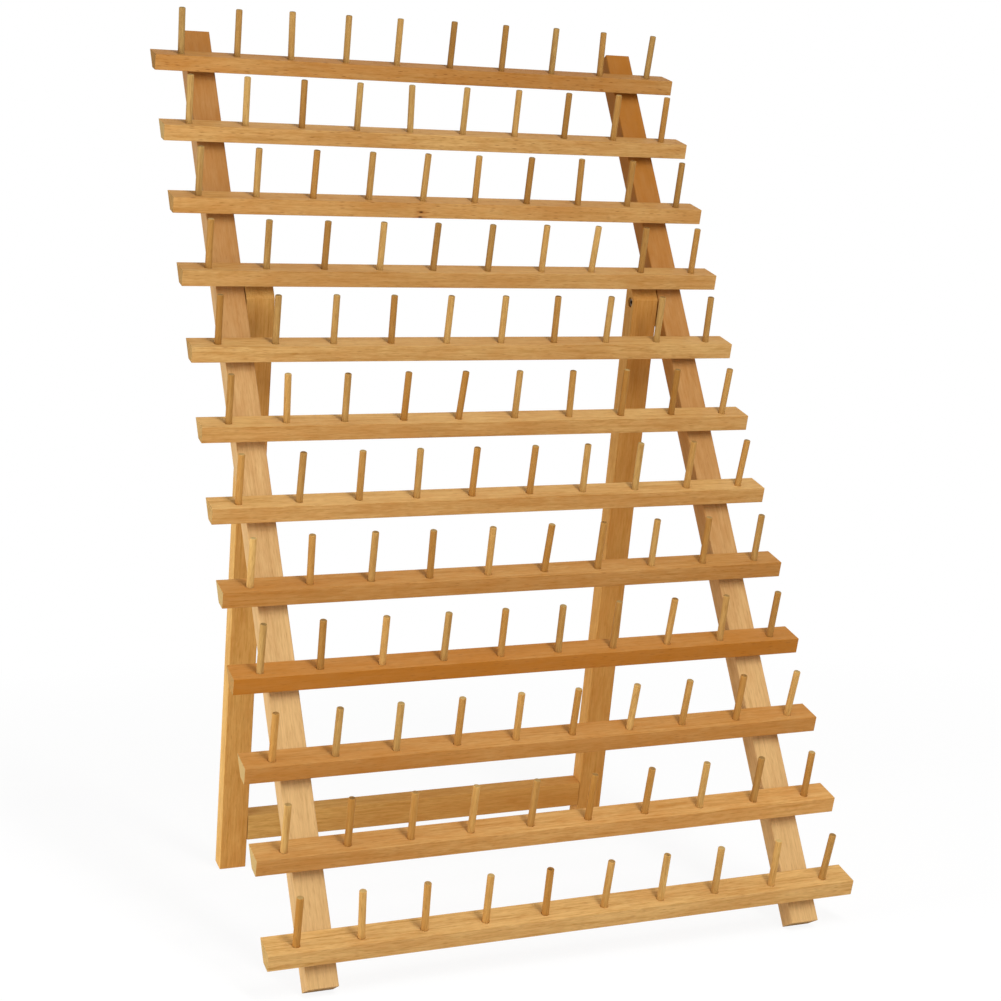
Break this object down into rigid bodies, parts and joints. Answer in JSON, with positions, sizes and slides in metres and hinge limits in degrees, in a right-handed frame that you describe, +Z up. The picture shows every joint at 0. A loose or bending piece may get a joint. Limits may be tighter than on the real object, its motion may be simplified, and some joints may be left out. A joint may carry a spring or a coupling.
{
  "type": "thread rack",
  "caption": "Free-standing folding thread rack: bevelled rails of spool pegs across two leaning legs, held up by a hinged rear stand.",
  "frame": {"origin": "on the floor, under the middle of the rack as it stands open, half way between its side ends and between its foremost pegs and its rear feet", "axes": "+X along the rails to the user's right, +Y away from the user, +Z up"},
  "size_m": [0.567, 0.4626, 0.8855],
  "materials": {
    "rail_beech": "satin",
    "front_leg_beech": "satin",
    "rear_leg_beech": "satin",
    "cross_rail_beech": "satin",
    "bolt_steel": "satin"
  },
  "bodies": {
    "front_frame": {"front_leg_left": "front_leg_beech", "front_leg_right": "front_leg_beech", "peg_rail_01": "rail_beech", "peg_rail_02": "rail_beech", "peg_rail_03": "rail_beech", "peg_rail_04": "rail_beech", "peg_rail_05": "rail_beech", "peg_rail_06": "rail_beech", "peg_rail_07": "rail_beech", "peg_rail_08": "rail_beech", "peg_rail_09": "rail_beech", "peg_rail_10": "rail_beech", "peg_rail_11": "rail_beech", "peg_rail_12": "rail_beech", "pivot_bolt_left": "bolt_steel", "pivot_bolt_right": "bolt_steel"},
    "rear_stand": {"rear_leg_left": "rear_leg_beech", "rear_leg_right": "rear_leg_beech", "cross_rail": "cross_rail_beech"}
  },
  "joints": [
    {"name": "stand_fold", "type": "hinge", "parent": "front_frame", "child": "rear_stand", "pos_m": [0, 0.06599, 0.59388], "axis": [-1, 0, 0], "range_deg": [0, 39.6]}
  ]
}
